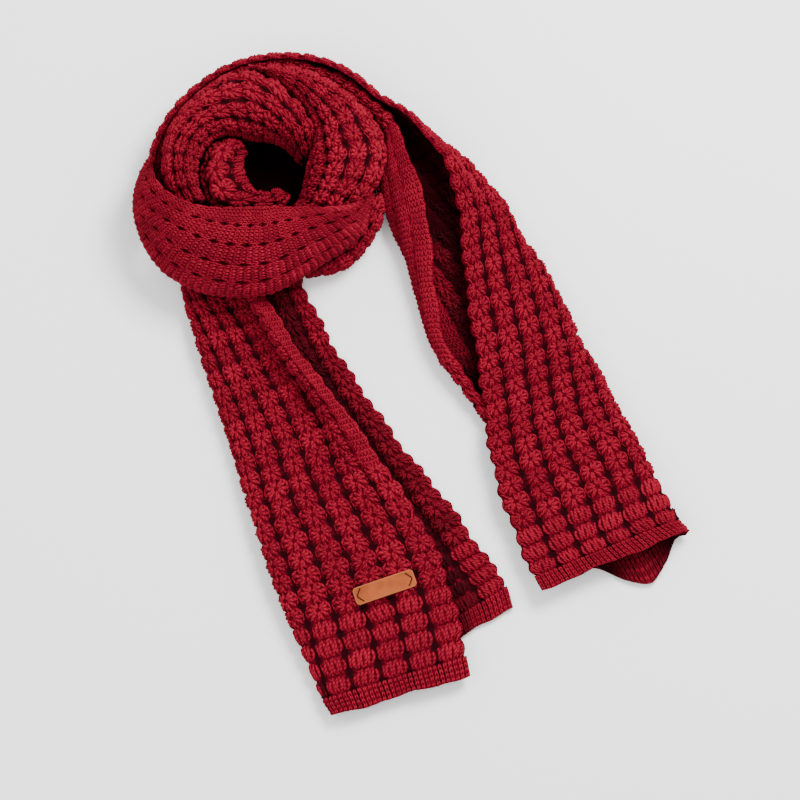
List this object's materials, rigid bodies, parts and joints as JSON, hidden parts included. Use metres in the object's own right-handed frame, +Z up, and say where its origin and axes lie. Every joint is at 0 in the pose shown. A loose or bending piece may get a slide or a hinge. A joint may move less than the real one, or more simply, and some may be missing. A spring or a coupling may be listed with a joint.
{
  "type": "knit scarf",
  "caption": "Long chunky-knit scarf laid flat in one round wound loop, with two folded tails, ribbed hems and a small blank leather tag.",
  "frame": {"origin": "middle of the laid-out scarf's box, on the surface it lies on", "axes": "+Z up, +X to the right and +Y away from the two hems, as the picture is framed"},
  "size_m": [0.5271, 0.6333, 0.0869],
  "materials": {
    "knit": "deep red chunky bobble knit, matt and slightly fuzzy",
    "hem_knit": "deep red fine one by one rib, matt",
    "inner_layers": "the same red knit in the shade of the outer layers",
    "tag_leather": "smooth tan leather with paler cut edges, bare face"
  },
  "bodies": {
    "root": {"tail_left": "knit", "hem_left": "hem_knit", "tail_right": "knit", "hem_right": "hem_knit", "loop_rim": "knit", "loop_front": "knit", "loop_back": "knit", "loop_right": "knit", "loop_inner": "knit", "loop_lower": "knit", "loop_core": "inner_layers", "leather_tag": "tag_leather"}
  },
  "joints": []
}
